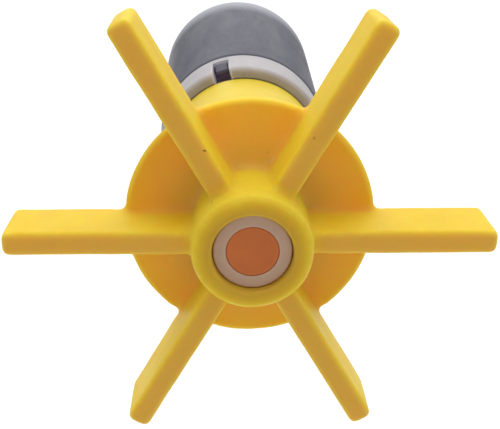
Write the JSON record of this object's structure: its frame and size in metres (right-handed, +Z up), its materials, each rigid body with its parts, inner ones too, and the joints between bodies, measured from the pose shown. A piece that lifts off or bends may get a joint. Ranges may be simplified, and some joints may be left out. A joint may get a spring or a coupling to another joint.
{
  "type": "geared dc motor",
  "caption": "In-line geared DC motor with a paddle wheel on its hollow output shaft, a round gearbox nose, a ring gear housing and a rounded motor cover.",
  "frame": {"origin": "on the shaft axis at the middle of the motor cover, where a round clamp holds the motor", "axes": "+Y along the shaft from the wheel to the cord gland, +Z up, +X to the right seen from the wheel"},
  "size_m": [0.06, 0.0964, 0.0534],
  "materials": {
    "amber": "satin moulded",
    "yellow": "satin moulded",
    "white": "satin moulded",
    "sleeve": "satin moulded",
    "grey": "satin moulded",
    "cap_grey": "satin moulded",
    "black_rubber": "matte",
    "natural": "satin",
    "steel": "ground",
    "zinc": "zinc plated",
    "bronze": "sintered",
    "brass": "machined",
    "copper": "enamelled copper",
    "magnet": "sintered ferrite",
    "carbon": "graphite",
    "black_wire": "insulation",
    "red_wire": "insulation",
    "ceramic_tan": "dipped ceramic"
  },
  "bodies": {
    "housing": {"gearbox_nose": "yellow", "front_bushing": "bronze", "rear_bushing": "bronze", "thrust_washer": "steel", "ring_gear_housing": "white", "motor_plate": "zinc", "plate_screw_1": "steel", "plate_screw_2": "steel", "motor_can": "zinc", "motor_front_bushing": "bronze", "magnet_1": "magnet", "magnet_2": "magnet", "end_bell": "natural", "motor_rear_bushing": "bronze", "brush_1": "carbon", "brush_2": "carbon", "brush_arm_1": "copper", "brush_arm_2": "copper", "terminal_1": "brass", "terminal_2": "brass", "lead_1": "black_wire", "lead_2": "red_wire", "capacitor": "ceramic_tan", "motor_cover": "grey", "rear_cap": "cap_grey", "cord_gland": "black_rubber", "cap_screw_1": "steel", "cap_screw_2": "steel", "cap_screw_3": "steel"},
    "output": {"paddle_wheel": "yellow", "drive_key": "steel", "output_shaft": "sleeve", "shaft_clip": "steel", "output_carrier": "amber", "output_planet_pin_1": "steel", "output_planet_pin_2": "steel", "output_planet_pin_3": "steel"},
    "input_carrier": {"input_carrier": "steel", "output_sun_gear": "brass", "input_planet_pin_1": "steel", "input_planet_pin_2": "steel", "input_planet_pin_3": "steel"},
    "rotor": {"rotor_shaft": "steel", "motor_pinion": "brass", "armature_core": "zinc", "commutator": "copper", "winding_1": "copper", "winding_2": "copper", "winding_3": "copper"},
    "output_planet_1": {"output_planet_1": "natural"},
    "output_planet_2": {"output_planet_2": "natural"},
    "output_planet_3": {"output_planet_3": "natural"},
    "input_planet_1": {"input_planet_1": "natural"},
    "input_planet_2": {"input_planet_2": "natural"},
    "input_planet_3": {"input_planet_3": "natural"}
  },
  "joints": [
    {"name": "output_spin", "type": "hinge", "parent": "housing", "child": "output", "pos_m": [0, -0.05, 0], "axis": [0, -1, 0], "continuous": true},
    {"name": "input_carrier_spin", "type": "hinge", "parent": "housing", "child": "input_carrier", "pos_m": [0, -0.034, 0], "axis": [0, -1, 0], "continuous": true},
    {"name": "rotor_spin", "type": "hinge", "parent": "housing", "child": "rotor", "pos_m": [0, -0.01, 0], "axis": [0, -1, 0], "continuous": true},
    {"name": "output_planet_1_spin", "type": "hinge", "parent": "output", "child": "output_planet_1", "pos_m": [0.0054, -0.0369, 0], "axis": [0, -1, 0], "continuous": true},
    {"name": "output_planet_2_spin", "type": "hinge", "parent": "output", "child": "output_planet_2", "pos_m": [-0.0027, -0.0369, 0.00468], "axis": [0, -1, 0], "continuous": true},
    {"name": "output_planet_3_spin", "type": "hinge", "parent": "output", "child": "output_planet_3", "pos_m": [-0.0027, -0.0369, -0.00468], "axis": [0, -1, 0], "continuous": true},
    {"name": "input_planet_1_spin", "type": "hinge", "parent": "input_carrier", "child": "input_planet_1", "pos_m": [0.0054, -0.0292, 0], "axis": [0, -1, 0], "continuous": true},
    {"name": "input_planet_2_spin", "type": "hinge", "parent": "input_carrier", "child": "input_planet_2", "pos_m": [-0.0027, -0.0292, 0.00468], "axis": [0, -1, 0], "continuous": true},
    {"name": "input_planet_3_spin", "type": "hinge", "parent": "input_carrier", "child": "input_planet_3", "pos_m": [-0.0027, -0.0292, -0.00468], "axis": [0, -1, 0], "continuous": true}
  ],
  "couplings": [
    {"joint": "input_carrier_spin", "follows": "output_spin", "ratio": 4.5},
    {"joint": "rotor_spin", "follows": "output_spin", "ratio": 20.25},
    {"joint": "output_planet_1_spin", "follows": "output_spin", "ratio": -2.8},
    {"joint": "output_planet_2_spin", "follows": "output_spin", "ratio": -2.8},
    {"joint": "output_planet_3_spin", "follows": "output_spin", "ratio": -2.8},
    {"joint": "input_planet_1_spin", "follows": "output_spin", "ratio": -12.6},
    {"joint": "input_planet_2_spin", "follows": "output_spin", "ratio": -12.6},
    {"joint": "input_planet_3_spin", "follows": "output_spin", "ratio": -12.6}
  ]
}
